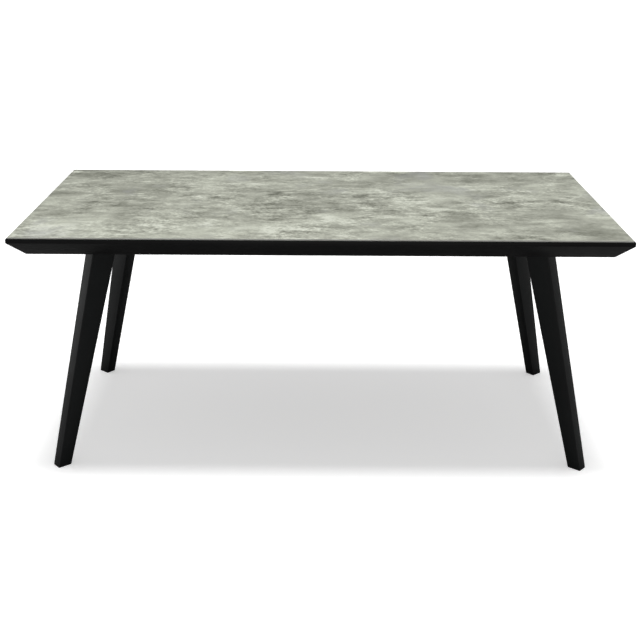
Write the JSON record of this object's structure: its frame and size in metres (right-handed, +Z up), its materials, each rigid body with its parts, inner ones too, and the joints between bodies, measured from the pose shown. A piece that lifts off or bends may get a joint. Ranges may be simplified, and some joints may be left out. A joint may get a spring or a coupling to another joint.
{
  "type": "extendable dining table",
  "caption": "Rectangular dining table with a concrete-look slab, a bevelled black rim and splayed tapered legs; a draw leaf slides out from under each end.",
  "frame": {"origin": "on the floor under the middle of the top", "axes": "+X along the top, +Y across it from the front to the back, +Z up"},
  "size_m": [1.8, 0.9, 0.755],
  "materials": {
    "concrete_slab": "matt, mottled grey concrete look",
    "black_rim": "satin black lacquer",
    "leaf_black_board": "satin black lacquer",
    "black_steel": "fine matt black powder coat",
    "batten_wood": "sanded, unlacquered",
    "rail_steel": "zinc plated",
    "fastener_steel": "zinc plated",
    "black_plastic": "moulded, matt",
    "magnet_block": "moulded, matt"
  },
  "bodies": {
    "frame": {"batten_centre": "batten_wood", "batten_left": "batten_wood", "batten_right": "batten_wood", "batten_screws": "fastener_steel", "beam_back": "black_steel", "beam_end_caps": "black_plastic", "beam_front": "black_steel", "catch_magnets": "magnet_block", "cross_rail_left": "black_steel", "cross_rail_right": "black_steel", "foot_glide_back_left": "black_plastic", "foot_glide_back_right": "black_plastic", "foot_glide_front_left": "black_plastic", "foot_glide_front_right": "black_plastic", "glide_strips": "black_plastic", "leg_back_left": "black_steel", "leg_back_right": "black_steel", "leg_front_left": "black_steel", "leg_front_right": "black_steel", "leg_plate_back_left": "black_steel", "leg_plate_back_right": "black_steel", "leg_plate_front_left": "black_steel", "leg_plate_front_right": "black_steel", "outer_rail_back_left": "rail_steel", "outer_rail_back_right": "rail_steel", "outer_rail_front_left": "rail_steel", "outer_rail_front_right": "rail_steel", "plate_bolts": "fastener_steel", "rail_screws": "fastener_steel", "rim_screws": "fastener_steel", "rivet_nuts": "fastener_steel", "side_rim_back": "black_rim", "side_rim_front": "black_rim", "top_board": "black_rim", "top_screws": "fastener_steel", "top_slab": "concrete_slab"},
    "leaf_left": {"end_rim_left": "black_rim", "inner_rail_back_left": "rail_steel", "inner_rail_front_left": "rail_steel", "leaf_arm_back_left": "black_steel", "leaf_arm_front_left": "black_steel", "leaf_board_left": "leaf_black_board", "leaf_glue_block_left": "batten_wood", "leaf_screws_left": "fastener_steel", "leaf_slab_left": "concrete_slab", "strike_plate_left": "rail_steel"},
    "middle_rails_left": {"middle_rail_back_left": "rail_steel", "middle_rail_front_left": "rail_steel"},
    "leaf_right": {"end_rim_right": "black_rim", "inner_rail_back_right": "rail_steel", "inner_rail_front_right": "rail_steel", "leaf_arm_back_right": "black_steel", "leaf_arm_front_right": "black_steel", "leaf_board_right": "leaf_black_board", "leaf_glue_block_right": "batten_wood", "leaf_screws_right": "fastener_steel", "leaf_slab_right": "concrete_slab", "strike_plate_right": "rail_steel"},
    "middle_rails_right": {"middle_rail_back_right": "rail_steel", "middle_rail_front_right": "rail_steel"}
  },
  "joints": [
    {"name": "leaf_left_slide", "type": "slide", "parent": "frame", "child": "leaf_left", "axis": [-1, 0, 0], "range_m": [0, 0.3]},
    {"name": "middle_rails_left_slide", "type": "slide", "parent": "frame", "child": "middle_rails_left", "axis": [-1, 0, 0], "range_m": [0, 0.15]},
    {"name": "leaf_right_slide", "type": "slide", "parent": "frame", "child": "leaf_right", "axis": [1, 0, 0], "range_m": [0, 0.3]},
    {"name": "middle_rails_right_slide", "type": "slide", "parent": "frame", "child": "middle_rails_right", "axis": [1, 0, 0], "range_m": [0, 0.15]}
  ],
  "couplings": [
    {"joint": "middle_rails_left_slide", "follows": "leaf_left_slide", "ratio": 0.5},
    {"joint": "middle_rails_right_slide", "follows": "leaf_right_slide", "ratio": 0.5}
  ]
}
